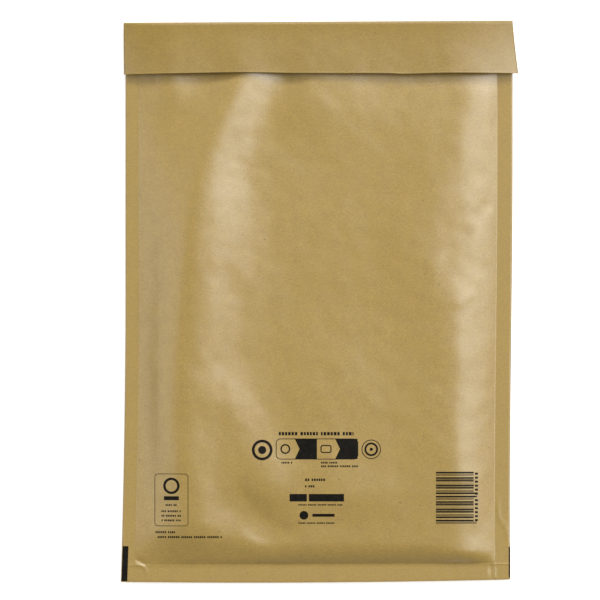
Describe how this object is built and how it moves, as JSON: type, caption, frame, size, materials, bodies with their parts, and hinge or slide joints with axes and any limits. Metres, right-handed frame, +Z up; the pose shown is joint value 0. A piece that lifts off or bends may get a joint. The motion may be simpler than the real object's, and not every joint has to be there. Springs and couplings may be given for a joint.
{
  "type": "padded envelope",
  "caption": "Kraft paper mailing envelope lined with bubble film, empty, lying flat with its flap folded down over the front.",
  "frame": {"origin": "middle of the footprint, on the surface that the back panel lies on", "axes": "+X to the right across the front, +Y from the bottom fold to the top fold, +Z up out of the front"},
  "size_m": [0.244, 0.3454, 0.0135],
  "materials": {
    "kraft_paper": "golden brown kraft paper, machine glazed on the outside with a soft sheen, fine fibre grain",
    "bubble_film": "clear to milky polyethylene bubble film, glossy",
    "release_liner": "off-white siliconised release paper, smooth",
    "adhesive": "pale amber hot-melt adhesive, glossy",
    "print": "black flexographic ink on kraft, slightly soaked in"
  },
  "bodies": {
    "root": {"kraft_sheet": "kraft_paper", "bubble_lining": "bubble_film", "release_liner": "release_liner", "adhesive_strip": "adhesive"}
  },
  "joints": []
}
